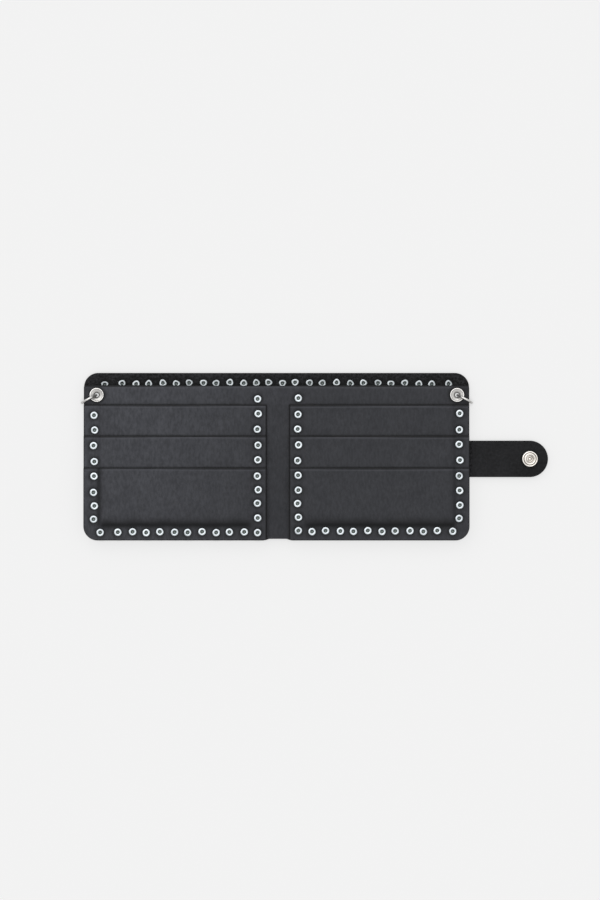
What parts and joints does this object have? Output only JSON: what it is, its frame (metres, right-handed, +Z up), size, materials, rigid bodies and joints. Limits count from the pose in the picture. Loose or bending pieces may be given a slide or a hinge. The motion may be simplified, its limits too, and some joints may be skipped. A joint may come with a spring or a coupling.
{
  "type": "chain wallet",
  "caption": "Open bifold chain wallet of black and dark grey leather, riveted with studs round its edges, with card pockets, a snap strap and a ring in each upper corner.",
  "frame": {"origin": "on the surface that the open wallet rests on, under the middle of the whole model's box", "axes": "+X along the open wallet towards the closing strap, +Y towards the note compartment's mouth, +Z up towards the card pockets"},
  "size_m": [0.2628, 0.094, 0.0104],
  "materials": {
    "cover_leather": "matte black leather",
    "pocket_leather": "smooth dark grey leather",
    "stud_steel": "bright plated steel",
    "grommet_nickel": "polished nickel plate",
    "snap_nickel": "polished nickel plate",
    "ring_wire": "satin steel wire",
    "spring_steel": "spring steel"
  },
  "bodies": {
    "right_half": {"cover_right": "cover_leather", "inner_panel_right": "pocket_leather", "top_pocket_right": "pocket_leather", "middle_pocket_right": "pocket_leather", "bottom_pocket_right": "pocket_leather", "edge_studs_right": "stud_steel", "bottom_studs_right": "stud_steel", "inner_studs_right": "stud_steel", "top_studs_right": "stud_steel", "grommet_right": "grommet_nickel", "grommet_washer_right": "grommet_nickel"},
    "spine": {"cover_spine": "cover_leather", "inner_panel_spine": "pocket_leather", "top_stud_spine": "stud_steel"},
    "left_half": {"cover_left": "cover_leather", "inner_panel_left": "pocket_leather", "top_pocket_left": "pocket_leather", "middle_pocket_left": "pocket_leather", "bottom_pocket_left": "pocket_leather", "edge_studs_left": "stud_steel", "bottom_studs_left": "stud_steel", "inner_studs_left": "stud_steel", "top_studs_left": "stud_steel", "grommet_left": "grommet_nickel", "grommet_washer_left": "grommet_nickel", "snap_stud": "snap_nickel", "snap_stud_rivet": "snap_nickel"},
    "strap_riser": {"strap_riser": "cover_leather"},
    "strap_tip": {"strap_tip": "cover_leather", "snap_cap": "snap_nickel", "snap_socket": "snap_nickel", "snap_spring": "spring_steel"},
    "ring_right": {"chain_ring_right": "ring_wire"},
    "ring_left": {"chain_ring_left": "ring_wire"}
  },
  "joints": [
    {"name": "right_fold", "type": "hinge", "parent": "right_half", "child": "spine", "pos_m": [-0.01563, 0, 0.0061], "axis": [0, 1, 0], "range_deg": [0, 90]},
    {"name": "left_fold", "type": "hinge", "parent": "spine", "child": "left_half", "pos_m": [-0.02543, 0, 0.0061], "axis": [0, 1, 0], "range_deg": [0, 90]},
    {"name": "strap_bend", "type": "hinge", "parent": "right_half", "child": "strap_riser", "pos_m": [0.08897, -0.0013, 0.0045], "axis": [0, -1, 0], "range_deg": [0, 90]},
    {"name": "strap_turn", "type": "hinge", "parent": "strap_riser", "child": "strap_tip", "pos_m": [0.10657, -0.0013, 0.0045], "axis": [0, -1, 0], "range_deg": [0, 90]},
    {"name": "right_ring_swing", "type": "hinge", "parent": "right_half", "child": "ring_right", "pos_m": [0.08017, 0.03465, 0.005], "axis": [0, 0, 1], "range_deg": [0, 45]},
    {"name": "left_ring_swing", "type": "hinge", "parent": "left_half", "child": "ring_left", "pos_m": [-0.12243, 0.03465, 0.005], "axis": [0, 0, -1], "range_deg": [0, 45]}
  ],
  "couplings": [
    {"joint": "right_fold", "follows": "left_fold", "ratio": 1},
    {"joint": "strap_turn", "follows": "strap_bend", "ratio": 1}
  ]
}
